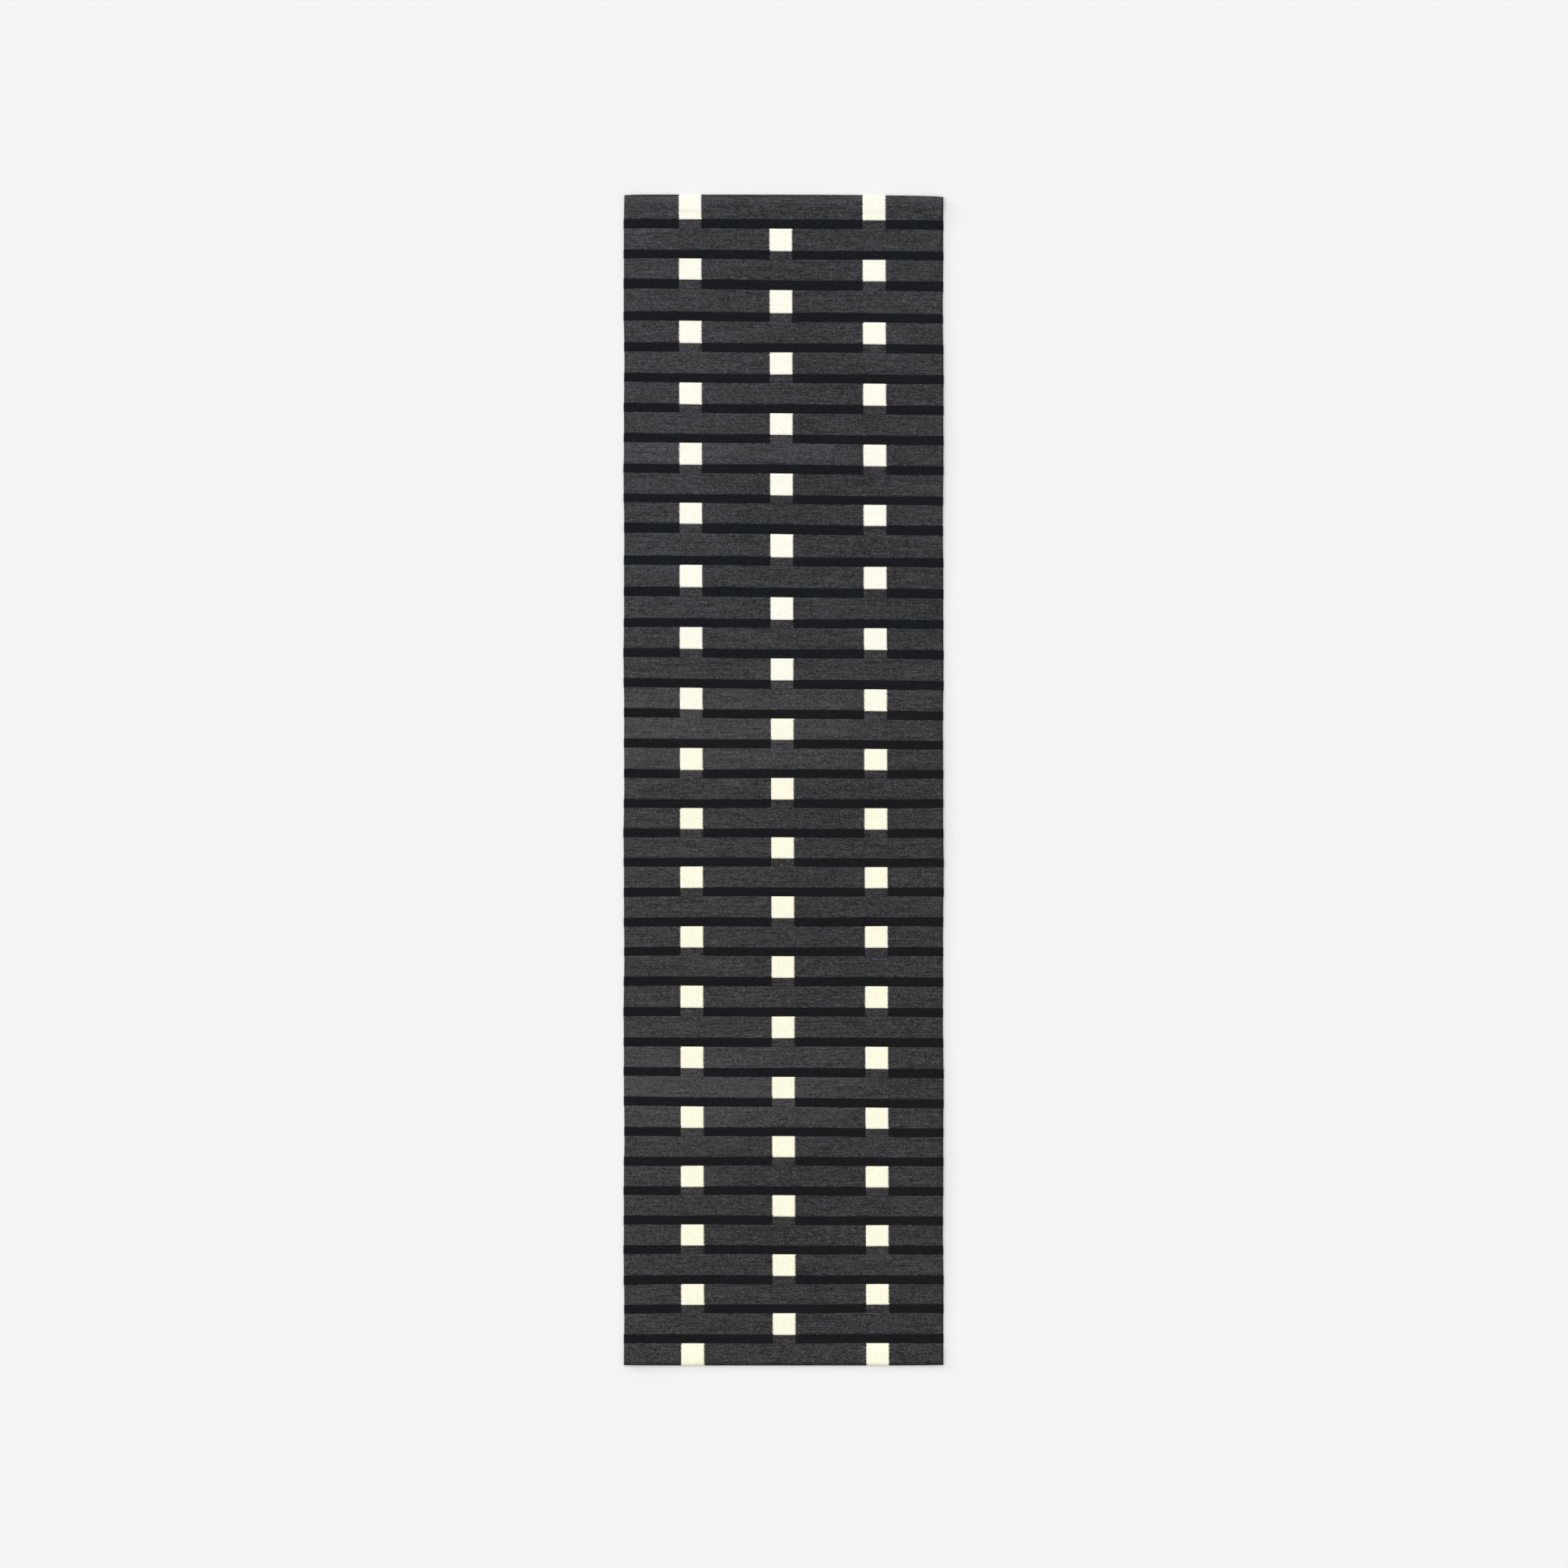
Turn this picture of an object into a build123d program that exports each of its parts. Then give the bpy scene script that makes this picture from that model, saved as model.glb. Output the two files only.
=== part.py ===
from build123d import *
import math
import os

# A flat-woven runner rug, lying flat. Weft yarn is packed over straight cotton warps, so every
# coloured patch is a flat sleeve of weft round the warps that pass through it.
# Frame: X across the width, +Y towards the end with band 01, +Z up, origin under the middle.
# Millimetres.

# The whole rug
rug_length = 2750.0
rug_width = 750.0
weave_thickness = 4.2

# Pattern: charcoal bands with a black stripe between each two
band_count = 39
stripe_height = 21.4
band_height = (rug_length - (band_count - 1) * stripe_height) / band_count
beat_drift = 17.4  # the weft is beaten tighter towards -Y, so mid-length lines sit this much lower
early_drift = 2.7  # and a little looser again in the first half
first_band_extra = 5.2  # the first and last bands are woven deeper, for the turn of the hem
last_band_extra = 2.1

# Warps: cotton cords in an even row between the two selvedges, here as one strip for each column
warp_count = 322
warp_diameter = 1.3
tunnel_height = 1.4  # the room for warps inside a sleeve of weft
yarn_wall = 0.4  # weft that turns round the last warp of a patch

# Selvedge: one thick cord along each long edge, wrapped by the weft of the edge patches
selvedge_diameter = 2.6
selvedge_channel = 3.0
selvedge_wall = 0.8

# Blocks of colour set into the bands, in three columns
block_warps = 23
column_centre = {"left": -218.6, "middle": -4.3, "right": 214.9}

# Hem: the last of the web is folded under at each end and stitched down
hem_depth = 30.0
hem_web_thickness = 1.6
hem_ramp = 16.0  # the length over which the weave comes down off the folded web
fold_nose = 2.6  # weave that turns round the end of the rug
nose_bevel = 1.2
web_side_margin = 2.0
stitch_pitch = 12.0
stitch_length = 5.0
stitch_size = 0.9
stitch_floor = 0.1  # the height of a stitch's underside

# Worked out
field_half = rug_width / 2 - selvedge_wall - selvedge_channel
warp_pitch = 2 * field_half / warp_count
tunnel_floor = (weave_thickness - tunnel_height) / 2
tunnel_roof = tunnel_floor + tunnel_height
channel_floor = (weave_thickness - selvedge_channel) / 2
hem_thickness = weave_thickness + hem_web_thickness
end = rug_length / 2
past = 1.0  # how far a cutting tool runs past what it cuts
bend_radius = 20.0  # of the selvedge cords where they climb onto the hem


def weft_line(distance):
    """The Y of a weft line that would lie this far from the +Y end if the rug were beaten evenly."""
    woven = distance / rug_length
    if woven <= 0 or math.isclose(woven, 1):
        return end - distance
    drift = beat_drift * math.sin(math.pi * woven) + early_drift * math.sin(2 * math.pi * woven)
    drift += first_band_extra * (1 - woven) - last_band_extra * woven
    return end - distance - drift


def band_span(band):
    """The low and high Y of a charcoal band; band 1 is at the +Y end."""
    start = (band - 1) * (band_height + stripe_height)
    return weft_line(start + band_height), weft_line(start)


def stripe_span(band):
    """The low and high Y of the black stripe below a band."""
    return band_span(band + 1)[1], band_span(band)[0]


def columns_of(band):
    """Odd bands carry blocks in the two outer columns, even bands in the middle one."""
    return ["left", "right"] if band % 2 else ["middle"]


def block_span(column):
    """The low and high X of a column of blocks, on the gaps between warps."""
    low = column_centre[column] - block_warps * warp_pitch / 2
    first_gap = round((low + field_half) / warp_pitch)
    return (first_gap * warp_pitch - field_half, (first_gap + block_warps) * warp_pitch - field_half)


def ground_spans(band):
    """The spans of X that the blocks of a band leave to the ground weft."""
    edges = [-rug_width / 2]
    for column in columns_of(band):
        edges += block_span(column)
    edges.append(rug_width / 2)
    return list(zip(edges[::2], edges[1::2]))


def slab(x_span, y_span, z_span):
    """A box from its low and high corners."""
    size = [high - low for low, high in (x_span, y_span, z_span)]
    middle = [(high + low) / 2 for low, high in (x_span, y_span, z_span)]
    return Pos(*middle) * Box(*size)


def prism(outline, x_span):
    """An outline of (y, z) points, run along X."""
    face = make_face(Polyline([(x_span[0], y, z) for y, z in outline], close=True))
    return extrude(face, amount=x_span[1] - x_span[0], dir=(1, 0, 0))


def edge_channels(x_span):
    """The spans of X of the selvedge channels inside a patch that reaches a long edge."""
    found = []
    if x_span[0] == -rug_width / 2:
        found.append((-field_half - selvedge_channel, -field_half))
    if x_span[1] == rug_width / 2:
        found.append((field_half, field_half + selvedge_channel))
    return found


def middle_patch(x_span, y_span):
    """A patch of weft between the hems: a flat sleeve, open in Y for its warps."""
    patch = slab(x_span, y_span, (0, weave_thickness))
    open_y = (y_span[0] - past, y_span[1] + past)
    low = -field_half if x_span[0] == -rug_width / 2 else x_span[0] + yarn_wall
    high = field_half if x_span[1] == rug_width / 2 else x_span[1] - yarn_wall
    patch -= slab((low, high), open_y, (tunnel_floor, tunnel_roof))
    for channel in edge_channels(x_span):
        patch -= slab(channel, open_y, (channel_floor, channel_floor + selvedge_channel))
    return patch


def climb(inner, low, rise):
    """The line of a layer at height low that climbs onto the hem, from its inner end outwards."""
    return [(inner, low), (hem_depth + hem_ramp, low), (hem_depth, low + rise), (fold_nose, low + rise)]


def end_patch(x_span, y_span):
    """A patch of weft at an end: it climbs onto the folded web and turns down at the nose."""
    inner = y_span[1] - y_span[0]
    under = climb(inner, 0, hem_web_thickness)
    nose = [
        (fold_nose, 0),
        (nose_bevel, 0),
        (0, nose_bevel),
        (0, hem_thickness - nose_bevel),
        (nose_bevel, hem_thickness),
    ]
    over = climb(inner, weave_thickness, hem_web_thickness)[-2::-1]
    patch = prism(to_end(under + nose + over, y_span), x_span)
    cuts = [((x_span[0] - past, x_span[1] + past), tunnel_floor, tunnel_height)]
    for channel in edge_channels(x_span):
        cuts.append((channel, channel_floor, selvedge_channel))
    for span, floor, height in cuts:
        span = (max(span[0], -field_half - selvedge_channel), min(span[1], field_half + selvedge_channel))
        low = climb(inner + past, floor, hem_web_thickness)
        high = climb(inner + past, floor + height, hem_web_thickness)[::-1]
        patch -= prism(to_end(low + high, y_span), span)
    return patch


def to_end(outline, y_span):
    """An outline drawn as (distance in from the end, z), placed at the end that the span touches."""
    if y_span[1] > 0:
        return [(end - inward, z) for inward, z in outline]
    return [(inward - end, z) for inward, z in outline]


def weft_patch(x_span, y_span):
    """Any patch of weft."""
    at_end = math.isclose(y_span[1], end) or math.isclose(y_span[0], -end)
    return end_patch(x_span, y_span) if at_end else middle_patch(x_span, y_span)


def cord_path(middle):
    """The centre line of a lengthwise cord: flat, and up onto the web at each hem."""
    inward = climb(end, middle, hem_web_thickness)[1:]
    points = [(0, inset - end, z) for inset, z in reversed(inward)]
    points += [(0, end - inset, z) for inset, z in inward]
    return FilletPolyline(points, radius=bend_radius)


def lengthwise_cord(diameter):
    """A round cord under x = 0, from nose to nose."""
    path = cord_path(weave_thickness / 2)
    return sweep(Plane(path @ 0, z_dir=path % 0) * Circle(diameter / 2), path=path)


def warp_threads():
    """The row of cotton warps that carries all the weft, with a gap at each column's edges."""
    floor = tunnel_floor + (tunnel_height - warp_diameter) / 2
    low = [(end - inward, z) for inward, z in climb(end, floor, hem_web_thickness)]
    high = [(y, z + warp_diameter) for y, z in low]
    half = low + high[::-1]
    gap = warp_pitch - warp_diameter
    edges = [-field_half]
    for column in column_centre:
        edges += block_span(column)
    edges.append(field_half)
    strips = []
    for left, right in zip(edges, edges[1:]):
        strip = prism(half, (left + gap / 2, right - gap / 2))
        strips.append(strip + mirror(strip, about=Plane.XZ))
    return strips


def selvedge_cord(side):
    """The thick outermost warp along one long edge."""
    return [Pos(side * (field_half + selvedge_channel / 2), 0, 0) * lengthwise_cord(selvedge_diameter)]


def hem_span(side):
    """The low and high Y of the folded-under web at one end."""
    return tuple(sorted((side * (end - fold_nose), side * (end - hem_depth))))


def hem_web(side):
    """The plain cotton web folded under at one end."""
    width = rug_width / 2 - web_side_margin
    return [slab((-width, width), hem_span(side), (0, hem_web_thickness))]


def hem_stitches(side):
    """The row of overcast stitches that holds the web's inner edge to the back of the weave."""
    half = rug_width / 2 - web_side_margin - stitch_length
    count = int(2 * half / stitch_pitch)
    edge = sorted((side * (end - hem_depth), side * (end - hem_depth - stitch_size)))
    stitches = []
    for i in range(count + 1):
        x = (i - count / 2) * stitch_pitch
        span = (x - stitch_length / 2, x + stitch_length / 2)
        stitches.append(slab(span, edge, (stitch_floor, stitch_floor + stitch_size)))
    return stitches


def save(node, solids):
    """Write one piece, or one group of like pieces, to its own file."""
    export_step(Compound(solids), f"parts/{node}.step")


os.makedirs("parts", exist_ok=True)
odd_bands = range(1, band_count + 1, 2)
even_bands = range(2, band_count + 1, 2)

for band in range(1, band_count + 1):
    save(f"charcoal_band_{band:02d}", [weft_patch(x, band_span(band)) for x in ground_spans(band)])

stripe_runs = {
    "left_margin": (odd_bands, 0),
    "centre": (odd_bands, 1),
    "right_margin": (odd_bands, 2),
    "left_half": (even_bands, 0),
    "right_half": (even_bands, 1),
}
for run, (bands, place) in stripe_runs.items():
    woven = [weft_patch(ground_spans(b)[place], stripe_span(b)) for b in bands if b < band_count]
    save(f"black_stripes_{run}", woven)

for column in column_centre:
    bands = even_bands if column == "middle" else odd_bands
    save(f"cream_blocks_{column}", [weft_patch(block_span(column), band_span(b)) for b in bands])
    gaps = [weft_patch(block_span(column), stripe_span(b)) for b in bands if b < band_count]
    save(f"charcoal_gap_blocks_{column}", gaps)

save("warp_threads", warp_threads())
save("selvedge_cord_left", selvedge_cord(-1))
save("selvedge_cord_right", selvedge_cord(1))
save("hem_web_top", hem_web(1))
save("hem_web_bottom", hem_web(-1))
save("hem_stitches_top", hem_stitches(1))
save("hem_stitches_bottom", hem_stitches(-1))
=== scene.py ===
import math

import bmesh
import bpy
import numpy as np
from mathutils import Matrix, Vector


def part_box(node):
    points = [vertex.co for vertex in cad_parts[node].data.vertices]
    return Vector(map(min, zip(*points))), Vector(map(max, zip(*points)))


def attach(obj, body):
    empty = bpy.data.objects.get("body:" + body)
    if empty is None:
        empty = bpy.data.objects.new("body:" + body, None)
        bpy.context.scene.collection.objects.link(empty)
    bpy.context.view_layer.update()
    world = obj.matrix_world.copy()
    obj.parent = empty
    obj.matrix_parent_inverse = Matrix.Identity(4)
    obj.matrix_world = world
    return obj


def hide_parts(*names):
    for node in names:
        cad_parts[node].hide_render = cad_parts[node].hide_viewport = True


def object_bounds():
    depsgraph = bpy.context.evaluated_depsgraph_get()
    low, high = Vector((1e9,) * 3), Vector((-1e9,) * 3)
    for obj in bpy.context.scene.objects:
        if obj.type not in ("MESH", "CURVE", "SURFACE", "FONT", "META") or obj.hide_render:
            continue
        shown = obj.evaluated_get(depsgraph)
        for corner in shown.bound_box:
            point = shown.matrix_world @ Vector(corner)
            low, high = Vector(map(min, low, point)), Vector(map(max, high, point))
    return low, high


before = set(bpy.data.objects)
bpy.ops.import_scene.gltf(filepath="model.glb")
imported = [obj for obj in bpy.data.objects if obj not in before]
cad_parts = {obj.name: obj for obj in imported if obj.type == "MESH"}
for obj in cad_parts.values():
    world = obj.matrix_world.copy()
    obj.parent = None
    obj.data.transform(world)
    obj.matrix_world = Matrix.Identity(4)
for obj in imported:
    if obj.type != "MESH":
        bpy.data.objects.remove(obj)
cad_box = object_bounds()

# ---- Charcoal ground -----------------------------------------------------------------------------
# Thirty-nine crosswise bands of charcoal melange wool, packed over cotton warps until the warps
# are hidden. Each band is woven in patches that dovetail with the blocks of colour beside them.

# The rug's size, and the warps and picks that its patches are counted in
warps_per_block = 23
picks_per_band = 22
picks_per_stripe = 10
half_width, half_length = (v / 2 for v in (cad_box[1] - cad_box[0])[:2])
block_low, block_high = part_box("cream_blocks_middle")
warp_pitch = (block_high.x - block_low.x) / warps_per_block
weave_thickness = block_high.z
selvedge_width = 0.0038  # the cord and its wrapping, outside the last warp
selvedge_columns = 2
field_half = round(2 * (half_width - selvedge_width) / warp_pitch) * warp_pitch / 2
all_columns = round(2 * field_half / warp_pitch) + 2 * selvedge_columns

# The hem: a web folded under, which the weave climbs onto
web_low, web_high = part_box("hem_web_top")
hem_rise = web_high.z
hem_depth = half_length - web_low.y
hem_ramp = 0.016

# Relief of the weave, and how one colour meets another
bead_relief = 0.00042
wear_relief = 0.0005
wear_scale = 170.0
tooth_depth = 0.0016
tooth_least = 0.4  # the shallowest tooth, as a share of tooth_depth
tooth_spread = 1.1  # how much deeper than that the deepest is
scallop_depth = 0.0007
corner_ease = 0.8  # a dovetail's first and last tooth are drawn in by this share

# The turn of the long edge over its cord, and of the end over its fold
edge_round = 0.0040
edge_drop = 0.0013
edge_tuck = 0.0008
nose_round = 0.0075
nose_drop = 0.0021
nose_tuck = 0.0009
nose_wrap = 0.8  # how far down the folded web the nose comes, as a share of the web's thickness
hair = 0.0001  # less than any size of the weave, for telling a point at the very edge


def add(tree, kind, *inputs, **settings):
    """A node with its settings, and its inputs in order: a socket is linked, a value is set."""
    made = tree.nodes.new(kind)
    for name, value in settings.items():
        setattr(made, name, value)
    open_inputs = [s for s in made.inputs if s.enabled]
    for socket, value in zip(open_inputs, inputs):
        if isinstance(value, bpy.types.NodeSocket):
            tree.links.new(value, socket)
        elif value is not None:
            socket.default_value = value
    return made


def maths(tree, operation, *inputs, kind="ShaderNodeMath"):
    """The result of one math node."""
    return add(tree, kind, *inputs, operation=operation).outputs[0]


def blend(tree, share, first, second, blend_type="MIX"):
    """Two colours mixed."""
    made = tree.nodes.new("ShaderNodeMix")
    made.data_type, made.blend_type = "RGBA", blend_type
    for socket, value in zip([made.inputs[0], made.inputs[6], made.inputs[7]], (share, first, second)):
        if isinstance(value, bpy.types.NodeSocket):
            tree.links.new(value, socket)
        else:
            socket.default_value = value
    return made.outputs[2]


def woven_patch_tree():
    """A closed patch of weft-faced plain weave, laid out on the numbered warps and picks of the rug."""
    tree = bpy.data.node_groups.new("woven patch", "GeometryNodeTree")
    face = tree.interface
    face.new_socket("Geometry", in_out="OUTPUT", socket_type="NodeSocketGeometry")
    for name in ("First Warp", "Warps", "First Pick", "Picks"):
        face.new_socket(name, in_out="INPUT", socket_type="NodeSocketInt")
    for name in ("Low Y", "High Y", "Low Shift", "High Shift", "Thickness", "Rise", "Teeth", "Edge Bulge"):
        face.new_socket(name, in_out="INPUT", socket_type="NodeSocketFloat")
    face.new_socket("Yarn", in_out="INPUT", socket_type="NodeSocketMaterial")
    given = tree.nodes.new("NodeGroupInput").outputs

    def m(operation, *inputs):
        return maths(tree, operation, *inputs)

    size = add(tree, "ShaderNodeCombineXYZ", given["Warps"], given["Picks"], 2.0).outputs[0]
    columns, rows = m("ADD", given["Warps"], 1.0), m("ADD", given["Picks"], 1.0)
    box = add(tree, "GeometryNodeMeshCube", size, columns, rows, 3)
    corner = tree.nodes.new("GeometryNodeInputPosition").outputs[0]
    lattice = add(tree, "ShaderNodeSeparateXYZ", corner).outputs
    i = m("ROUND", m("ADD", lattice[0], m("MULTIPLY", given["Warps"], 0.5)))
    j = m("ROUND", m("ADD", lattice[1], m("MULTIPLY", given["Picks"], 0.5)))
    layer = m("ROUND", lattice[2])  # -1 under, 0 half way up the walls, 1 over
    warp = m("ADD", given["First Warp"], i)
    pick = m("ADD", given["First Pick"], j)
    over = m("ROUND", m("FLOORED_MODULO", m("ADD", warp, pick), 2.0))

    # Across: the warps are evenly spaced, with the selvedge's turns closer together
    core = m("MULTIPLY_ADD", m("SUBTRACT", warp, float(selvedge_columns)), warp_pitch, -field_half)
    turn = (half_width - field_half) / selvedge_columns
    left = m("MULTIPLY_ADD", warp, turn, -half_width)
    right = m("MULTIPLY_ADD", m("SUBTRACT", warp, float(all_columns)), turn, half_width)
    across = m("MINIMUM", m("MAXIMUM", core, left), right)
    at_selvedge = m("GREATER_THAN", m("ABSOLUTE", across), half_width - hair)
    side = m("SUBTRACT", m("COMPARE", i, given["Warps"], 0.5), m("COMPARE", i, 0.0, 0.5))
    joined_side = m("MULTIPLY", m("ABSOLUTE", side), m("SUBTRACT", 1.0, at_selvedge))
    turn_at = add(tree, "ShaderNodeCombineXYZ", warp, m("FLOOR", m("MULTIPLY", pick, 0.5)), 0.0).outputs[0]
    tension = add(tree, "ShaderNodeTexWhiteNoise", turn_at, noise_dimensions="3D").outputs["Value"]
    depth = m("MULTIPLY", given["Teeth"], m("MULTIPLY_ADD", tension, tooth_spread, tooth_least))
    tooth = m("MULTIPLY", depth, m("MULTIPLY_ADD", m("FLOORED_MODULO", pick, 2.0), 2.0, -1.0))
    first_row, last_row = m("COMPARE", j, 0.0, 0.5), m("COMPARE", j, given["Picks"], 0.5)
    between = m("SUBTRACT", 1.0, m("MULTIPLY", m("ADD", first_row, last_row), corner_ease))
    across = m("MULTIPLY_ADD", m("MULTIPLY", joined_side, between), tooth, across)

    # Along: even picks, with a scalloped edge where one colour follows another
    step = m("DIVIDE", j, given["Picks"])
    along = m("MULTIPLY_ADD", step, m("SUBTRACT", given["High Y"], given["Low Y"]), given["Low Y"])
    at_end = m("GREATER_THAN", m("ABSOLUTE", along), half_length - hair)
    along = m("MULTIPLY_ADD", first_row, given["Low Shift"], along)
    along = m("MULTIPLY_ADD", last_row, given["High Shift"], along)
    joined_end = m("MULTIPLY", m("ADD", first_row, last_row), m("SUBTRACT", 1.0, at_end))
    scallop = m("MULTIPLY_ADD", m("FLOORED_MODULO", warp, 2.0), 2 * scallop_depth, -scallop_depth)
    along = m("MULTIPLY_ADD", joined_end, scallop, along)

    # Height: a bead where the weft passes over a warp, and the climb onto the folded web
    wear = add(tree, "ShaderNodeTexNoise", None, 3.0, wear_scale, 2.0, noise_dimensions="4D")
    uneven = m("MULTIPLY_ADD", wear.outputs[0], wear_relief, -wear_relief / 2)
    bead = m("MULTIPLY", m("SUBTRACT", over, 0.5), bead_relief)
    core_half = m("MULTIPLY_ADD", given["Thickness"], 0.5, -bead_relief / 2)
    half = m("MULTIPLY_ADD", layer, core_half, m("MULTIPLY", given["Thickness"], 0.5))
    shown = m("ABSOLUTE", layer)
    top_only = m("MAXIMUM", layer, 0.0)
    height = m("MULTIPLY_ADD", m("ADD", bead, m("MULTIPLY", uneven, top_only)), shown, half)
    inset = m("SUBTRACT", half_length, m("ABSOLUTE", along))
    climb = add(tree, "ShaderNodeMapRange", inset, hem_depth, hem_depth + hem_ramp, given["Rise"], 0.0,
                interpolation_type="SMOOTHSTEP").outputs[0]
    height = m("ADD", height, climb)

    # The long edge is round over its cord, and the end turns down over the fold
    edge_turn = m("SUBTRACT", half_width, m("ABSOLUTE", across))
    near_edge = m("SUBTRACT", 1.0, m("DIVIDE", edge_turn, edge_round))
    near_nose = m("SUBTRACT", 1.0, m("DIVIDE", inset, nose_round))
    round_edge = m("POWER", m("MAXIMUM", near_edge, 0.0), 2.0)
    round_nose = m("POWER", m("MAXIMUM", near_nose, 0.0), 2.0)
    has_nose = m("GREATER_THAN", given["Rise"], 0.0)
    over_nose = m("MULTIPLY", m("MULTIPLY", round_nose, top_only), has_nose)
    under_nose = m("MULTIPLY", at_end, m("SUBTRACT", 0.5, m("MULTIPLY", layer, 0.5)))
    height = m("MULTIPLY_ADD", m("MULTIPLY", round_edge, layer), -edge_drop, height)
    height = m("MULTIPLY_ADD", over_nose, -nose_drop, height)
    height = m("MULTIPLY_ADD", under_nose, -hem_rise * nose_wrap, height)
    side_inward = m("MULTIPLY_ADD", shown, -edge_tuck, given["Edge Bulge"])
    across = m("MULTIPLY_ADD", m("MULTIPLY", at_selvedge, side_inward), m("SIGN", across), across)
    end_inward = m("MULTIPLY", at_end, m("MULTIPLY", shown, -nose_tuck))
    along = m("MULTIPLY_ADD", end_inward, m("SIGN", along), along)

    place = add(tree, "ShaderNodeCombineXYZ", across, along, height).outputs[0]
    number = add(tree, "ShaderNodeCombineXYZ", warp, pick, 0.0).outputs[0]
    numbered = add(tree, "GeometryNodeStoreNamedAttribute", box.outputs[0], None, "Warp and Pick", number,
                   data_type="FLOAT_VECTOR", domain="POINT").outputs[0]
    placed = add(tree, "GeometryNodeSetPosition", numbered, None, place).outputs[0]
    smooth = add(tree, "GeometryNodeSetShadeSmooth", placed).outputs[0]
    real = add(tree, "GeometryNodeRealizeInstances", smooth).outputs[0]
    coloured = add(tree, "GeometryNodeSetMaterial", real, None, given["Yarn"]).outputs[0]
    add(tree, "NodeGroupOutput", coloured)
    return tree


def run_tree(tree, values, start=None):
    """The plain mesh that a tree makes from named values."""
    holder = bpy.data.objects.new("loom", start or bpy.data.meshes.new("loom"))
    bpy.context.scene.collection.objects.link(holder)
    modifier = holder.modifiers.new("weave", "NODES")
    modifier.node_group = tree
    for item in tree.interface.items_tree:
        if item.in_out == "INPUT" and item.name in values:
            modifier[item.identifier] = values[item.name]
    graph = bpy.context.evaluated_depsgraph_get()
    mesh = bpy.data.meshes.new_from_object(holder.evaluated_get(graph))
    bpy.data.objects.remove(holder)
    return mesh


def patch_boxes(node):
    """The low and high corners of each solid of a CAD node, from the +Y end down."""
    copy = bmesh.new()
    copy.from_mesh(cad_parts[node].data)
    bmesh.ops.remove_doubles(copy, verts=copy.verts, dist=1e-6)
    boxes, waiting = [], set(copy.verts)
    while waiting:
        group, front = [], [waiting.pop()]
        while front:
            vert = front.pop()
            group.append(vert.co.copy())
            for edge in vert.link_edges:
                other = edge.other_vert(vert)
                if other in waiting:
                    waiting.remove(other)
                    front.append(other)
        corners = np.array(group)
        boxes.append((corners.min(0), corners.max(0)))
    copy.free()
    return sorted(boxes, key=lambda b: (-round(b[1][1], 4), b[0][0]))


def column_of(x):
    """The number of the warp at an X, counted from the left edge."""
    if abs(x) > half_width - hair:
        return 0 if x < 0 else all_columns
    return round((x + field_half) / warp_pitch) + selvedge_columns


# Rows that the weaver beat too loosely or too tightly, and rows that slope more than the rest:
# where each lies, as a share of the length from the +Y end, and how far out it is, in metres
loose_rows = {0.02: -0.0012, 0.07: 0.0045, 0.28: 0.0046, 0.355: -0.0026, 0.66: 0.0018, 0.93: -0.0022}
loose_reach = 0.016
sloping_rows = {0.27: 0.0036, 0.76: 0.0050, 0.86: 0.0028, 0.94: -0.0022}
sloping_reach = 0.028
edge_wave = 0.0006
edge_lift = 0.0011
corner_lift = 0.0016


def weaver_hand(co):
    """Lays points as a hand-beaten rug lies: the lines wander and slope, and the long edges wave."""
    x, y, z = co.T
    across, along = x / half_width, y / half_length
    woven = (1 - along) / 2

    # Sideways: the block columns lean, and each long edge waves on its own
    lean = (0.0008 + 0.0022 * across**2 - (0.0043 + 0.0011 * across) * along) * (1 - across**4)
    left_wave = np.sin(y * 14.1 + 0.6) + 0.6 * np.sin(y * 31.0 + 2.2)
    right_wave = np.sin(y * 11.7 + 4.0) + 0.6 * np.sin(y * 26.3 + 1.1)
    edge = edge_wave * np.where(x < 0, left_wave, right_wave) * np.abs(across) ** 5

    # Lengthwise: the beat comes and goes, and the rows slope most in the first half
    beat = -0.0010 - 0.0022 * np.sin(2 * np.pi * woven / 0.35)
    for where, slack in loose_rows.items():
        beat += slack * np.exp(-(((woven - where) / loose_reach) ** 2))
    slope = 0.0033 - 0.0023 * np.tanh((woven - 0.48) / 0.03)
    for where, steep in sloping_rows.items():
        slope += steep * np.exp(-(((woven - where) / sloping_reach) ** 2))
    wander = 0.0006 * np.sin(y * 19.3 + x * 4.1) + 0.0005 * np.sin(x * 13.7 - y * 7.9 + 1.3)

    # The ends are nearly straight: the +Y end falls away to the right, the other is a little short
    top_end, bottom_end = np.maximum(along, 0) ** 20, np.maximum(-along, 0) ** 20
    top_drop = 0.0006 - 0.0004 * across - 0.0034 * np.maximum(across, 0) ** 2 - 0.0020 * across**14
    ends = top_drop * top_end - (0.0010 - 0.0012 * across**6) * bottom_end
    inside = 1 - along**20
    shift = (beat - 0.55 * slope * across + wander) * inside + ends

    # Upwards: the long edges and the corners don't lie quite flat
    lift = edge_lift * np.abs(across) ** 7 * (1 + np.sin(y * 7.3 + across * 2.1))
    turned_up = np.abs(across) ** 4 * np.abs(along) ** 40 * (1 + 0.5 * across * np.sign(along))
    return np.stack([x + lean + edge, y + shift, z + lift + corner_lift * turned_up], 1)


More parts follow.
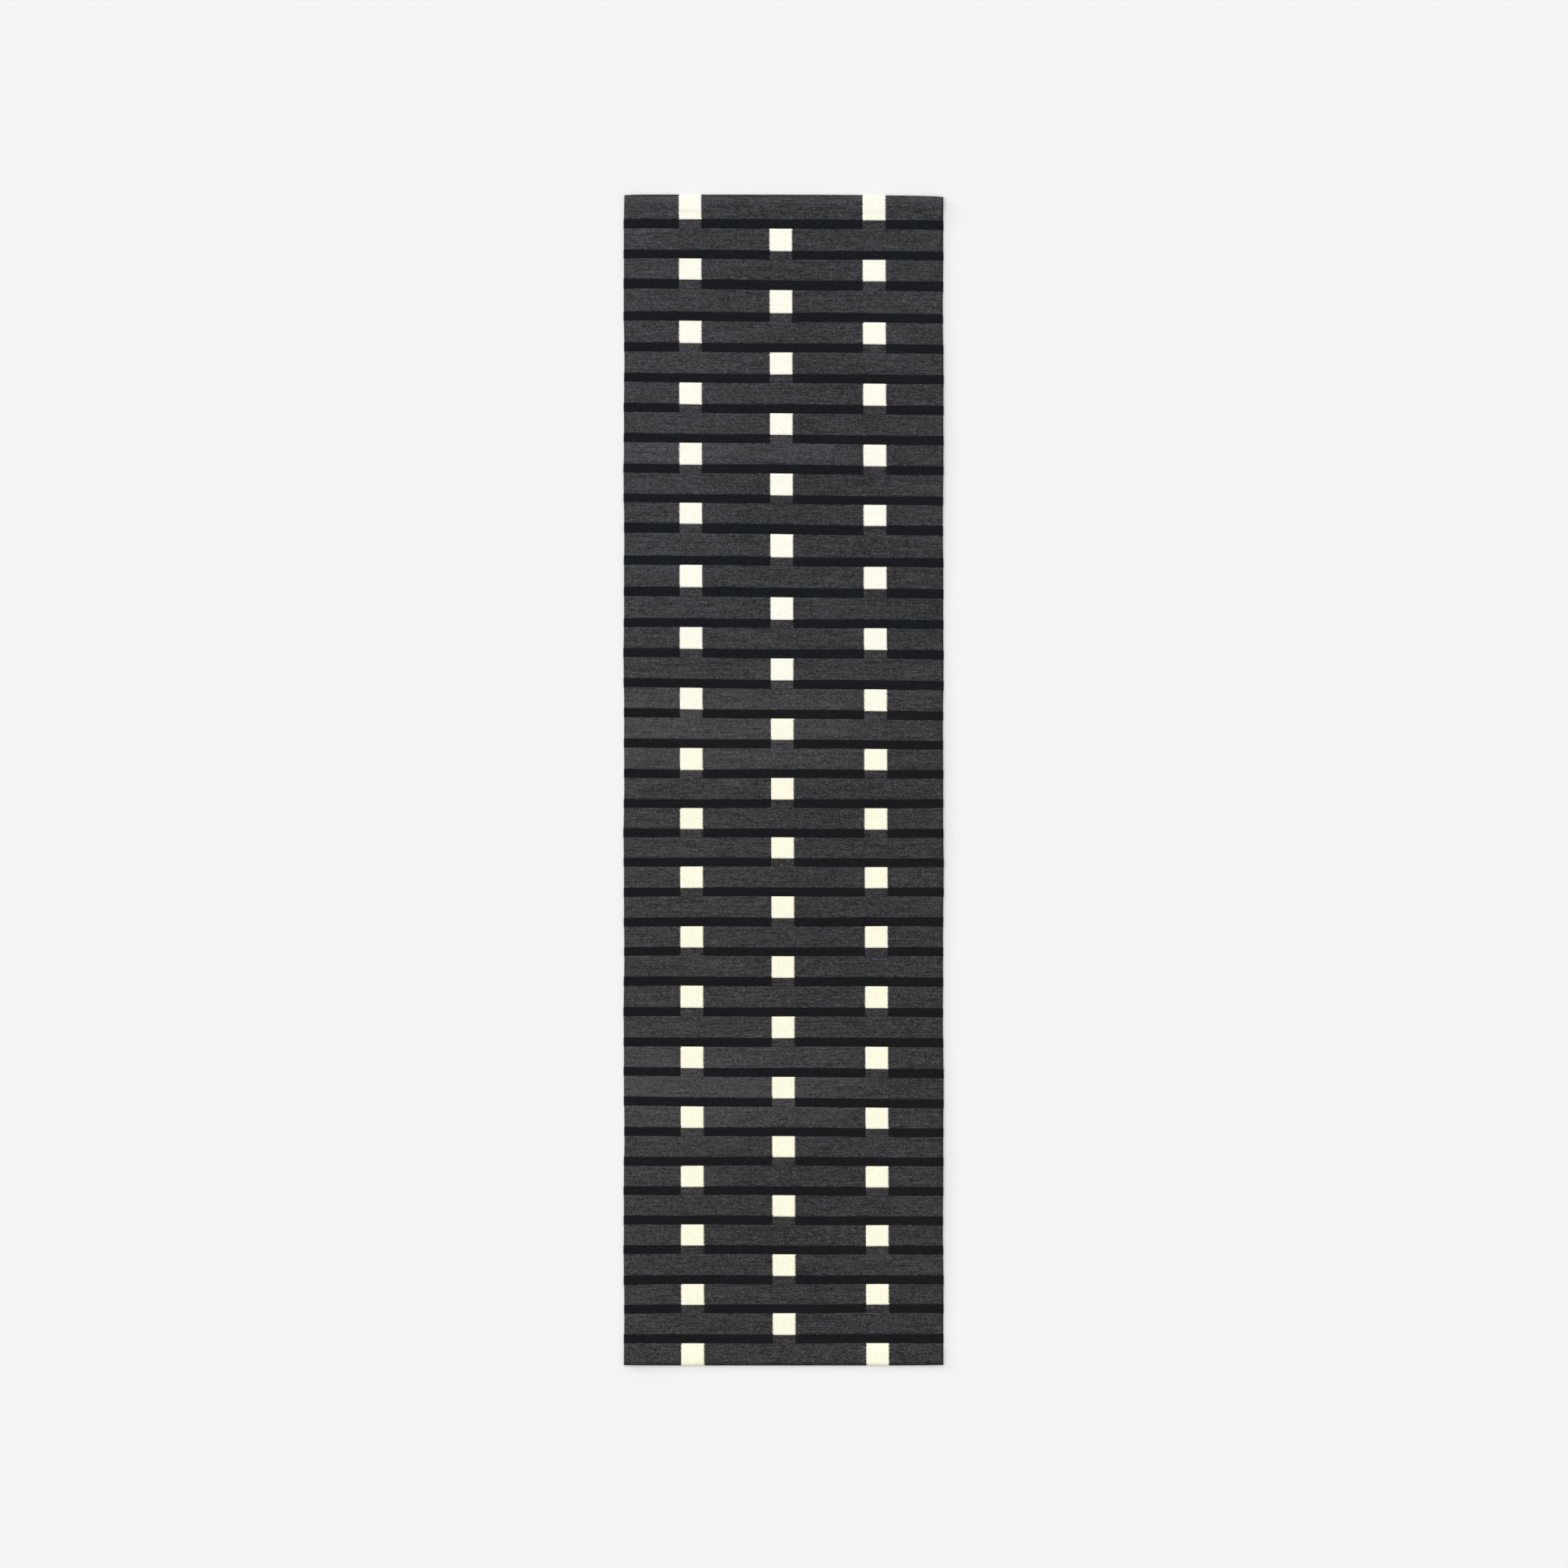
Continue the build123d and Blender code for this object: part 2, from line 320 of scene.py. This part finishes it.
def bake_layout(mesh, rows):
    """A UV map for baked textures: one shelf for each row of patches. From the bottom, a shelf holds
    the back of the patches, their side walls, their end walls and their face."""
    count = len(mesh.loops)
    co = np.empty(len(mesh.vertices) * 3)
    mesh.vertices.foreach_get("co", co)
    vertex = np.empty(count, int)
    mesh.loops.foreach_get("vertex_index", vertex)
    co = co.reshape(-1, 3)[vertex]
    normal = np.empty(len(mesh.polygons) * 3)
    mesh.polygons.foreach_get("normal", normal)
    sides = np.empty(len(mesh.polygons), int)
    mesh.polygons.foreach_get("loop_total", sides)
    normal = np.repeat(normal.reshape(-1, 3), sides, 0)
    low, high = co.min(0), co.max(0)
    u, v = (co[:, 0] - low[0]) / (high[0] - low[0]), np.zeros(count)
    bottoms = np.array([r[0] for r in rows])
    shelf = np.abs(co[:, 1, None] - np.array([(a + b) / 2 for a, b in rows])[None]).argmin(1)
    tall = np.array([b - a for a, b in rows])[shelf]
    local = np.clip((co[:, 1] - bottoms[shelf]) / tall, 0, 1)
    height = np.clip((co[:, 2] - low[2]) / (high[2] - low[2]), 0, 1)
    facing = 0.6  # how much of a face's normal is upright on a face or a back
    up, down = normal[:, 2] > facing, normal[:, 2] < -facing
    x_wall = ~up & ~down & (np.abs(normal[:, 0]) > np.abs(normal[:, 1]))
    y_wall = ~up & ~down & ~x_wall
    v[up], v[down] = 0.54 + 0.45 * local[up], 0.01 + 0.45 * local[down]
    v[x_wall], v[y_wall] = 0.47 + 0.02 * height[x_wall], 0.51 + 0.02 * height[y_wall]
    u[x_wall] = 0.5 * local[x_wall] + 0.5 * (normal[x_wall, 0] > 0)
    margin = 0.003
    u, v = margin + (1 - 2 * margin) * u, (shelf + v) / len(rows)
    mesh.uv_layers.new(name="OFBake").data.foreach_set("uv", np.stack([u, v], 1).ravel())


patch_tree = woven_patch_tree()
stripe_and_band = picks_per_band + picks_per_stripe


def weave(name, node, yarn, first_picks, picks, thickness=weave_thickness, rise=hem_rise,
          teeth=tooth_depth, edge_bulge=0.0, low_shift=0.0, high_shift=0.0):
    """One woven piece: the patches of a CAD node, woven on the rug's own warps and picks."""
    joined, rows = bmesh.new(), []
    boxes = patch_boxes(node)
    tops = sorted({round(float(b[1][1]), 4) for b in boxes}, reverse=True)
    for low, high in boxes:
        row = tops.index(round(float(high[1]), 4))
        first, last = column_of(low[0]), column_of(high[0])
        hemmed = low[1] < hair - half_length
        values = {
            "First Warp": first, "Warps": last - first, "First Pick": first_picks[row], "Picks": picks,
            "Low Y": float(low[1]), "High Y": float(high[1]), "Low Shift": 0.0 if hemmed else low_shift,
            "High Shift": high_shift, "Thickness": thickness, "Rise": rise, "Teeth": teeth,
            "Edge Bulge": edge_bulge, "Yarn": yarn,
        }
        patch = run_tree(patch_tree, values)
        joined.from_mesh(patch)
        bpy.data.meshes.remove(patch)
        if (low[1], high[1]) not in rows:
            rows.append((low[1], high[1]))
    mesh = bpy.data.meshes.new(name)
    joined.to_mesh(mesh)
    joined.free()
    mesh.materials.append(yarn)
    bake_layout(mesh, rows)
    piece = finish_piece(name, mesh, node)
    return piece


def finish_piece(name, mesh, node):
    """Lays a finished mesh by the weaver's hand and puts it in place of its CAD node."""
    co = np.empty(len(mesh.vertices) * 3)
    mesh.vertices.foreach_get("co", co)
    mesh.vertices.foreach_set("co", weaver_hand(co.reshape(-1, 3)).ravel())
    piece = bpy.data.objects.new(name, mesh)
    bpy.context.scene.collection.objects.link(piece)
    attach(piece, "root")
    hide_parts(node)
    return piece


def wool_material(name, dark, light, middle, streak, grain, cast, fold=(0.6, 0.57, 0.55, 1), lots=0.0,
                  cool_side=0.0):
    """Matt wool yarn: each pick has its own tone, every bead of weft differs, and the fibres stand up.
    middle is the usual tone from dark to light, streak how much the tone changes along a yarn, and
    grain how much from bead to bead. cast multiplies the colour towards the -Y end, where the dye is
    warmer, and fold is painted shade: it multiplies the colour on the turn of a hem or a long edge.
    lots is how much lighter three dye
    lots are, and cool_side the share of the cast that the right side goes without."""
    wool = bpy.data.materials.new(name)
    wool.use_nodes = True
    tree = wool.node_tree
    tree.nodes.clear()

    def m(operation, *inputs):
        return maths(tree, operation, *inputs)

    def noise(u, v, detail, rough=0.5):
        at = add(tree, "ShaderNodeCombineXYZ", u, v, 0.0).outputs[0]
        made = add(tree, "ShaderNodeTexNoise", at, noise_dimensions="2D", normalize=True)
        made.inputs["Scale"].default_value = 1.0
        made.inputs["Detail"].default_value = detail
        made.inputs["Roughness"].default_value = rough
        return m("SUBTRACT", made.outputs[0], 0.5)

    # Two yarns lie in each numbered pick, and a bead of them shows over every other warp
    place = add(tree, "ShaderNodeTexCoord").outputs["Object"]
    x, y = add(tree, "ShaderNodeSeparateXYZ", place).outputs[:2]
    number = add(tree, "ShaderNodeAttribute", attribute_name="Warp and Pick").outputs["Vector"]
    warp, pick = add(tree, "ShaderNodeSeparateXYZ", number).outputs[:2]
    yarns_per_pick = 2.0
    row = m("FLOOR", m("MULTIPLY", pick, yarns_per_pick))
    own = add(tree, "ShaderNodeTexWhiteNoise", row, noise_dimensions="1D").outputs["Value"]
    rib = m("FLOOR", m("ADD", warp, 0.5))
    step = m("MULTIPLY_ADD", m("FLOORED_MODULO", rib, 2.0), 0.5, pick)
    bead_at = add(tree, "ShaderNodeCombineXYZ", rib, m("FLOOR", step), 0.0).outputs[0]
    bead = add(tree, "ShaderNodeTexWhiteNoise", bead_at, noise_dimensions="2D").outputs["Value"]
    bead = m("SUBTRACT", m("POWER", bead, 3.0), 0.25)

    # Tone changes along each yarn over about 80 mm and 15 mm, along a fibre over 2 mm, and with the
    # dye over a third of a metre. The shift keeps neighbouring yarns unlike.
    shift = m("MULTIPLY", own, 90.0)
    slant = m("MULTIPLY_ADD", pick, 3.0, m("MULTIPLY", x, 300.0))
    batch = noise(m("MULTIPLY_ADD", x, 13.0, shift), m("MULTIPLY", row, 3.7), 1.0)
    yarn = noise(m("MULTIPLY_ADD", x, 70.0, shift), m("MULTIPLY", row, 5.3), 2.0, 0.6)
    fibre = noise(m("MULTIPLY", x, 520.0), slant, 2.0, 0.7)
    dye = noise(m("MULTIPLY", x, 2.6), m("MULTIPLY_ADD", y, 3.4, 11.0), 1.0)
    tone = m("MULTIPLY_ADD", batch, streak * 0.75, middle)
    tone = m("MULTIPLY_ADD", yarn, streak, tone)
    tone = m("MULTIPLY_ADD", bead, grain, tone)
    tone = m("MULTIPLY_ADD", fibre, grain * 0.5, tone)
    tone = m("MULTIPLY_ADD", dye, streak * 0.12, tone)

    # The dye is paler towards the left and the +Y end. Each lighter lot comes in from the left
    # and fades before the right edge: where it is, from the +Y end, and how far it reaches.
    lighter_lots = {0.218: 0.016, 0.455: 0.053, 0.763: 0.053}
    woven = m("MULTIPLY_ADD", y, -0.5 / half_length, 0.5)
    paler = add(tree, "ShaderNodeMapRange", x, -0.34, 0.0, lots * 0.23, lots * -0.33).outputs[0]
    tone = m("ADD", tone, m("MULTIPLY_ADD", woven, lots * -0.2, paler))
    from_left = add(tree, "ShaderNodeMapRange", x, 0.08, 0.26, lots, 0.0).outputs[0]
    for where, spread in lighter_lots.items():
        gap = m("DIVIDE", m("SUBTRACT", woven, where), spread)
        hump = m("MAXIMUM", m("SUBTRACT", 1.0, m("MULTIPLY", gap, gap)), 0.0)
        tone = m("MULTIPLY_ADD", hump, from_left, tone)

    # The +Y end has a paler line just inside the turn of its hem: a painted highlight on the raised weave
    # over the fold
    inset = m("SUBTRACT", half_length, m("ABSOLUTE", y))
    line = add(tree, "ShaderNodeMapRange", inset, 0.009, 0.026, lots * 1.3, 0.0).outputs[0]
    tone = m("MULTIPLY_ADD", line, m("GREATER_THAN", y, 0.0), tone)

    # The warmer dye comes in near mid-length
    warm = add(tree, "ShaderNodeMapRange", woven, 0.35, 0.55, 0.0, 1.0,
               interpolation_type="SMOOTHSTEP").outputs[0]
    warm_side = add(tree, "ShaderNodeMapRange", x, -0.1, 0.2, 1.0, 1.0 - cool_side).outputs[0]
    colour = blend(tree, m("MULTIPLY", warm, warm_side), blend(tree, tone, dark, light), cast, "MULTIPLY")

    # Painted shade: the colour is darkened where the weave turns down over the hem's fold and over the
    # selvedge cord
    painted_hem_turn_shade = add(tree, "ShaderNodeMapRange", inset, 0.003, 0.009, 1.0, 0.0).outputs[0]
    rim = m("SUBTRACT", half_width, m("ABSOLUTE", x))
    # painted shade along each long edge, as it rolls over its cord
    painted_selvedge_shade = add(tree, "ShaderNodeMapRange", rim, 0.001, 0.0045, 0.6, 0.0).outputs[0]
    colour = blend(tree, m("MAXIMUM", painted_hem_turn_shade, painted_selvedge_shade), colour, fold, "MULTIPLY")

    # Relief: each bead is round across and along, and the fibres stand up from it
    roundness = 0.45
    fuzz = m("MULTIPLY", fibre, 0.7)
    round_rib = m("ABSOLUTE", m("COSINE", m("MULTIPLY", warp, math.pi)))
    round_bead = m("ABSOLUTE", m("SINE", m("MULTIPLY", step, math.pi)))
    relief = m("MULTIPLY_ADD", round_rib, roundness, m("MULTIPLY_ADD", round_bead, roundness, fuzz))
    bump = tree.nodes.new("ShaderNodeBump")
    bump.inputs["Strength"].default_value = 0.55
    bump.inputs["Distance"].default_value = 0.0006
    tree.links.new(relief, bump.inputs["Height"])
    shader = tree.nodes.new("ShaderNodeBsdfPrincipled")
    tree.links.new(colour, shader.inputs["Base Color"])
    tree.links.new(bump.outputs[0], shader.inputs["Normal"])
    shader.inputs["Roughness"].default_value = 0.92
    shader.inputs["Specular IOR Level"].default_value = 0.08
    shader.inputs["Sheen Weight"].default_value = 0.04
    shader.inputs["Sheen Roughness"].default_value = 0.6
    out = tree.nodes.new("ShaderNodeOutputMaterial")
    tree.links.new(shader.outputs[0], out.inputs[0])
    return wool


charcoal_wool = wool_material("charcoal melange wool", (0.012, 0.0118, 0.0132, 1), (0.094, 0.093, 0.103, 1),
                              middle=0.293, streak=1.0, grain=0.5, cast=(1.0, 0.99, 0.905, 1), lots=0.15,
                              cool_side=0.65)
band_nodes = sorted(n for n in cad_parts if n.startswith("charcoal_band_"))
for number, node in enumerate(band_nodes):
    first_pick = -number * stripe_and_band
    weave(f"ground_{node}", node, charcoal_wool, [first_pick], picks_per_band)

# ---- Black stripes -------------------------------------------------------------------------------
# A narrow stripe of blue-black wool between each two bands. It stops either side of the place
# below each cream block, so the stripes come in runs of short patches.

black_wool = wool_material("blue-black wool", (0.0014, 0.0017, 0.0024, 1), (0.0094, 0.0100, 0.0134, 1),
                           middle=0.45, streak=0.7, grain=0.6, cast=(0.97, 0.93, 0.80, 1))
stripe_bulge = 0.0007  # how far the stripes stand out of the long edges
stripes_below = {0: [], 1: []}
for number in range(len(band_nodes) - 1):
    stripes_below[number % 2].append(-number * stripe_and_band - picks_per_stripe)
for run in ("left_margin", "centre", "right_margin", "left_half", "right_half"):
    node = f"black_stripes_{run}"
    weave(f"woven_{node}", node, black_wool, stripes_below[run.endswith("half")],
          picks_per_stripe, edge_bulge=stripe_bulge)

# ---- Cream blocks --------------------------------------------------------------------------------
# Squares of undyed cream wool, as tall as a band, dovetailed to the charcoal on both sides.
# They stand in three columns: the outer two on every other band, the middle one between them.

# Its fold colour is the painted shade on the turn of the hems and long edges.
cream_wool = wool_material("undyed cream wool", (0.69, 0.675, 0.575, 1), (0.91, 0.895, 0.80, 1),
                           middle=0.55, streak=0.45, grain=0.4, cast=(1.0, 0.99, 0.905, 1),
                           fold=(0.97, 0.96, 0.93, 1))
cream_hang = 0.0013  # how far a block's lower edge comes past its band's
for column in ("left", "middle", "right"):
    start = 1 if column == "middle" else 0
    picks = [-number * stripe_and_band for number in range(start, len(band_nodes), 2)]
    node = f"cream_blocks_{column}"
    weave(f"woven_{node}", node, cream_wool, picks, picks_per_band, low_shift=-cream_hang)

# ---- Charcoal gap blocks -------------------------------------------------------------------------
# Below each cream block the black stripe is left out, and the same charcoal wool as the bands
# fills the gap. The weaver carries it down from the band, so its rows line up with the stripe's.

for column in ("left", "middle", "right"):
    node = f"charcoal_gap_blocks_{column}"
    runs = stripes_below[column == "middle"]
    weave(f"woven_{node}", node, charcoal_wool, runs, picks_per_stripe,
          high_shift=-cream_hang)

# ---- Warps and selvedge cords --------------------------------------------------------------------
# Twisted cotton cords under tension from end to end, hidden in the weft. The warps are an even
# row, and the two selvedge cords are thicker. Each climbs onto the hem and stops in the fold.


def thread_material(name, dark, light, twist):
    """Plied thread: pale and dark turns run slantwise along it, with a bump at each ply."""
    thread = bpy.data.materials.new(name)
    thread.use_nodes = True
    tree = thread.node_tree
    shader = tree.nodes["Principled BSDF"]
    place = add(tree, "ShaderNodeTexCoord").outputs["Object"]
    x, y, z = add(tree, "ShaderNodeSeparateXYZ", place).outputs
    slant = maths(tree, "MULTIPLY", maths(tree, "ADD", maths(tree, "ADD", x, y), z), twist)
    ply = maths(tree, "MULTIPLY_ADD", maths(tree, "SINE", slant), 0.5, 0.5)
    fuzz = tree.nodes.new("ShaderNodeTexNoise")
    fuzz.inputs["Scale"].default_value = 900.0
    share = maths(tree, "MULTIPLY_ADD", ply, 0.6, maths(tree, "MULTIPLY", fuzz.outputs[0], 0.4))
    tree.links.new(blend(tree, share, dark, light), shader.inputs["Base Color"])
    bump = tree.nodes.new("ShaderNodeBump")
    bump.inputs["Distance"].default_value = 0.0002
    tree.links.new(share, bump.inputs["Height"])
    tree.links.new(bump.outputs[0], shader.inputs["Normal"])
    shader.inputs["Roughness"].default_value = 0.85
    return thread


def cord_row_tree():
    """A row of like cords: the line given is copied sideways and thickened."""
    tree = bpy.data.node_groups.new("row of cords", "GeometryNodeTree")
    face = tree.interface
    face.new_socket("Geometry", in_out="OUTPUT", socket_type="NodeSocketGeometry")
    face.new_socket("Line", in_out="INPUT", socket_type="NodeSocketGeometry")
    face.new_socket("Count", in_out="INPUT", socket_type="NodeSocketInt")
    face.new_socket("Sides", in_out="INPUT", socket_type="NodeSocketInt")
    for name in ("Start", "Step", "Radius"):
        face.new_socket(name, in_out="INPUT", socket_type="NodeSocketFloat")
    face.new_socket("Yarn", in_out="INPUT", socket_type="NodeSocketMaterial")
    given = tree.nodes.new("NodeGroupInput").outputs
    start = add(tree, "ShaderNodeCombineXYZ", given["Start"], 0.0, 0.0).outputs[0]
    step = add(tree, "ShaderNodeCombineXYZ", given["Step"], 0.0, 0.0).outputs[0]
    places = add(tree, "GeometryNodeMeshLine", given["Count"], start, step).outputs[0]
    line = add(tree, "GeometryNodeMeshToCurve", given["Line"]).outputs[0]
    row = add(tree, "GeometryNodeInstanceOnPoints", places, None, line).outputs[0]
    real = add(tree, "GeometryNodeRealizeInstances", row).outputs[0]
    ring = add(tree, "GeometryNodeCurvePrimitiveCircle", given["Sides"])
    tree.links.new(given["Radius"], ring.inputs["Radius"])
    tube = tree.nodes.new("GeometryNodeCurveToMesh")
    tree.links.new(real, tube.inputs["Curve"])
    tree.links.new(ring.outputs[0], tube.inputs["Profile Curve"])
    tube.inputs["Fill Caps"].default_value = True
    smooth = add(tree, "GeometryNodeSetShadeSmooth", tube.outputs[0]).outputs[0]
    coloured = add(tree, "GeometryNodeSetMaterial", smooth, None, given["Yarn"]).outputs[0]
    add(tree, "NodeGroupOutput", coloured)
    return tree


def run_on_line(tree, points, values):
    """The plain mesh that a tree makes from a line and named values."""
    line = bpy.data.meshes.new("line")
    line.from_pydata(points, [(i, i + 1) for i in range(len(points) - 1)], [])
    return run_tree(tree, values, line)


def lengthwise_line(middle, parts):
    """The centre line of a cord that runs from fold to fold at a height, and climbs onto each hem.
    parts is how many straight parts lie between the two hems."""
    stop = float(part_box("warp_threads")[1].y)
    climb_out = half_length - hem_depth
    climb_in = climb_out - hem_ramp
    turn_down = 0.006
    # Half the line: how far from the middle of the rug, and what share of the web's height it is up
    half = [(climb_in, 0), (climb_in + hem_ramp * 0.3, 0.216), (climb_in + hem_ramp * 0.7, 0.784),
            (climb_out, 1), (stop - turn_down, 1), (stop, 0.72)]
    points = [(0, -y, middle + share * hem_rise) for y, share in reversed(half)]
    points += [(0, -climb_in + 2 * climb_in * n / parts, middle) for n in range(1, parts)]
    return points + [(0, y, middle + share * hem_rise) for y, share in half]


cotton = thread_material("twisted cotton", (0.50, 0.46, 0.38, 1), (0.76, 0.72, 0.62, 1), 2600.0)
cord_tree = cord_row_tree()
warp_count = all_columns - 2 * selvedge_columns
warp_radius = 0.00065
selvedge_radius = 0.0010
selvedge_middle = field_half + 0.0012
# Each row: how many cords, the X of the first, their radius and sides, and their straight parts
cord_rows = {
    "warp_threads": (warp_count, -field_half + warp_pitch / 2, warp_radius, 6, 10),
    "selvedge_cord_left": (1, -selvedge_middle, selvedge_radius, 10, 120),
    "selvedge_cord_right": (1, selvedge_middle, selvedge_radius, 10, 120),
}
for node, (count, start, radius, sides, parts) in cord_rows.items():
    values = {"Count": count, "Start": start, "Step": warp_pitch, "Radius": radius, "Sides": sides,
              "Yarn": cotton}
    mesh = run_on_line(cord_tree, lengthwise_line(weave_thickness / 2, parts), values)
    finish_piece(f"cotton_{node}", mesh, node)

# ---- Hem webs ------------------------------------------------------------------------------------
# The last of the rug at each end is a plain web of dyed cotton. It is folded under the wool, lies
# flat against the back of the weave, and shows only from behind.

web_cotton = wool_material("dyed cotton web", (0.012, 0.0118, 0.012, 1), (0.058, 0.057, 0.058, 1),
                           middle=0.5, streak=0.7, grain=0.5, cast=(1.0, 1.0, 1.0, 1))
web_picks = 14
for place in ("top", "bottom"):
    node = f"hem_web_{place}"
    weave(f"woven_{node}", node, web_cotton, [0], web_picks, thickness=hem_rise, rise=0.0,
          teeth=0.0)

# ---- Hem stitches --------------------------------------------------------------------------------
# A row of slanting overcast stitches in dark thread holds each web's inner edge to the back of
# the weave. Each stitch comes out of the web, goes over its edge and sinks into the wool.

thread = thread_material("dark sewing thread", (0.012, 0.012, 0.013, 1), (0.06, 0.06, 0.064, 1), 5200.0)
thread_radius = 0.00045
web_edge = half_length - hem_depth
# One stitch, out of the web, over its edge and into the weave: X, how far onto the web, and height
stitch = [(-0.0024, 0.0030, 0.0011), (-0.0014, 0.0022, 0.0005), (0.0, 0.0, 0.0005),
          (0.0014, -0.0022, 0.0009), (0.0022, -0.0030, 0.0016)]
for place, side in (("top", 1), ("bottom", -1)):
    node = f"hem_stitches_{place}"
    boxes = sorted(patch_boxes(node), key=lambda b: b[0][0])
    middles = [float(b[0][0] + b[1][0]) / 2 for b in boxes]
    line = [(x, side * (web_edge + onto_web), z) for x, onto_web, z in stitch]
    values = {"Count": len(boxes), "Start": middles[0], "Step": middles[1] - middles[0],
              "Radius": thread_radius, "Sides": 8, "Yarn": thread}
    finish_piece(f"thread_{node}", run_on_line(cord_tree, line, values), node)

# ---- Studio --------------------------------------------------------------------------------------
# A pale seamless floor, soft light from all round and more of it from the upper left, and a camera
# that looks straight down on the rug.

reach = 30.0
floor_gap = 0.0002
floor_grey = 0.72
corners = [(-reach, -reach, 0), (reach, -reach, 0), (reach, reach, 0), (-reach, reach, 0)]
floor_mesh = bpy.data.meshes.new("floor")
floor_mesh.from_pydata(corners, [], [(0, 1, 2, 3)])
floor = bpy.data.objects.new("floor", floor_mesh)
bpy.context.scene.collection.objects.link(floor)
floor.location.z = -floor_gap
paint = bpy.data.materials.new("matt pale floor")
paint.use_nodes = True
paint_shader = paint.node_tree.nodes["Principled BSDF"]
paint_shader.inputs["Base Color"].default_value = (floor_grey, floor_grey, floor_grey, 1)
paint_shader.inputs["Roughness"].default_value = 1.0
paint_shader.inputs["Specular IOR Level"].default_value = 0.0
floor_mesh.materials.append(paint)

world = bpy.data.worlds.new("studio")
bpy.context.scene.world = world
world.use_nodes = True
white_room = world.node_tree.nodes["Background"]
white_room.inputs["Color"].default_value = (1, 1, 1, 1)
white_room.inputs["Strength"].default_value = 0.60

# Each lamp: how far round from +X, how high and how wide, in degrees, and how strong
lamps = {"skylight": (135, 45, 110, 2.66), "low window": (150, 9.5, 8, 1.2)}
for name, (bearing, elevation, spread, strength) in lamps.items():
    lamp = bpy.data.lights.new(name, "SUN")
    lamp.angle, lamp.energy = math.radians(spread), strength
    lit = bpy.data.objects.new(name, lamp)
    bpy.context.scene.collection.objects.link(lit)
    lit.rotation_euler = (0, math.radians(90 - elevation), math.radians(bearing))

picture_width = 3.686  # of floor that fits across the picture
picture_middle = (0.001, -0.0095)
lens = bpy.data.cameras.new("copy stand")
lens.lens, lens.sensor_width = 100.0, 36.0
lens.clip_end = 100.0
camera = bpy.data.objects.new("copy stand", lens)
bpy.context.scene.collection.objects.link(camera)
camera.location = (*picture_middle, picture_width * lens.lens / lens.sensor_width)
bpy.context.scene.camera = camera
bpy.context.scene.view_settings.view_transform = "Standard"
